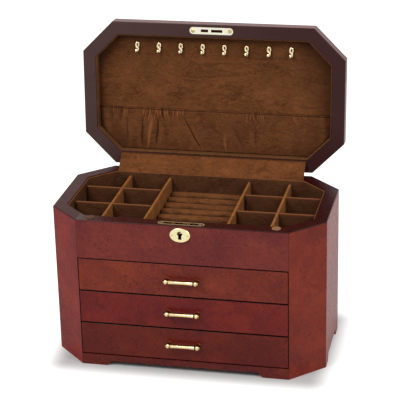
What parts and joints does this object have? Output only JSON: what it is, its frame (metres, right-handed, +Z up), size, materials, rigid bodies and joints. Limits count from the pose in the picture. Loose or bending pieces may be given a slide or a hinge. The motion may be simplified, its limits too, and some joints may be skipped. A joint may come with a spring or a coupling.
{
  "type": "jewelry box",
  "caption": "Eight-sided wooden jewellery chest with a hinged lid, a divided lined tray with ring rolls, drawers with bar pulls, and a lock with a keeper in the lid.",
  "frame": {"origin": "middle of the footprint of the whole object in its rest pose, on the floor", "axes": "+X to the right as seen from the front, +Y to the back, +Z up"},
  "size_m": [0.4, 0.2776, 0.4527],
  "materials": {
    "case_veneer": "satin lacquer over reddish burl veneer",
    "inner_wood": "plain, sealed",
    "suede": "brushed suede cloth",
    "brass": "polished and lacquered",
    "cork": "plain cork"
  },
  "bodies": {
    "case": {"right_side_panel": "case_veneer", "left_side_panel": "case_veneer", "back_panel": "case_veneer", "back_right_corner_panel": "case_veneer", "back_left_corner_panel": "case_veneer", "front_right_corner_panel": "case_veneer", "front_left_corner_panel": "case_veneer", "front_apron": "case_veneer", "front_base_rail": "case_veneer", "case_floor": "inner_wood", "tray_deck": "inner_wood", "tray_floor_lining": "suede", "tray_wall_lining": "suede", "right_inner_divider": "suede", "left_inner_divider": "suede", "right_outer_divider": "suede", "left_outer_divider": "suede", "right_cross_dividers": "suede", "left_cross_dividers": "suede", "ring_roll_pad": "suede", "right_drawer_guide": "inner_wood", "left_drawer_guide": "inner_wood", "drawer_runners": "inner_wood", "hinge_case_leaves": "brass", "hinge_pins": "brass", "hinge_case_screws": "brass", "lock_case": "brass", "lock_plate_screws": "brass", "escutcheon": "brass", "escutcheon_pins": "brass", "lid_bumpers": "cork", "hinge_flap": "suede"},
    "lid": {"lid_front_rail": "case_veneer", "lid_right_rail": "case_veneer", "lid_back_rail": "case_veneer", "lid_left_rail": "case_veneer", "lid_corner_rails": "case_veneer", "lid_top_panel": "case_veneer", "lid_lining_panel": "suede", "lid_lining_border": "suede", "lid_pocket": "suede", "necklace_hooks": "brass", "keeper_plate": "brass", "keeper_screws": "brass", "hinge_lid_leaves": "brass", "hinge_lid_screws": "brass"},
    "lock_bolt": {"lock_bolt": "brass"},
    "bottom_drawer": {"bottom_drawer_front": "case_veneer", "bottom_drawer_box": "inner_wood", "bottom_drawer_lining": "suede", "bottom_drawer_pull": "brass"},
    "middle_drawer": {"middle_drawer_front": "case_veneer", "middle_drawer_box": "inner_wood", "middle_drawer_lining": "suede", "middle_drawer_pull": "brass"},
    "top_drawer": {"top_drawer_front": "case_veneer", "top_drawer_box": "inner_wood", "top_drawer_lining": "suede", "top_drawer_pull": "brass"}
  },
  "joints": [
    {"name": "lid_hinge", "type": "hinge", "parent": "case", "child": "lid", "pos_m": [0, 0.09799, 0.2292], "axis": [1, 0, 0], "range_deg": [0, 93.75], "deforming": ["hinge_flap"]},
    {"name": "bottom_drawer_slide", "type": "slide", "parent": "case", "child": "bottom_drawer", "axis": [0, -1, 0], "range_m": [0, 0.15]},
    {"name": "middle_drawer_slide", "type": "slide", "parent": "case", "child": "middle_drawer", "axis": [0, -1, 0], "range_m": [0, 0.15]},
    {"name": "top_drawer_slide", "type": "slide", "parent": "case", "child": "top_drawer", "axis": [0, -1, 0], "range_m": [0, 0.15]},
    {"name": "lock_bolt_slide", "type": "slide", "parent": "case", "child": "lock_bolt", "axis": [0.7071, 0, 0.7071], "range_m": [0, 0.00849]}
  ]
}
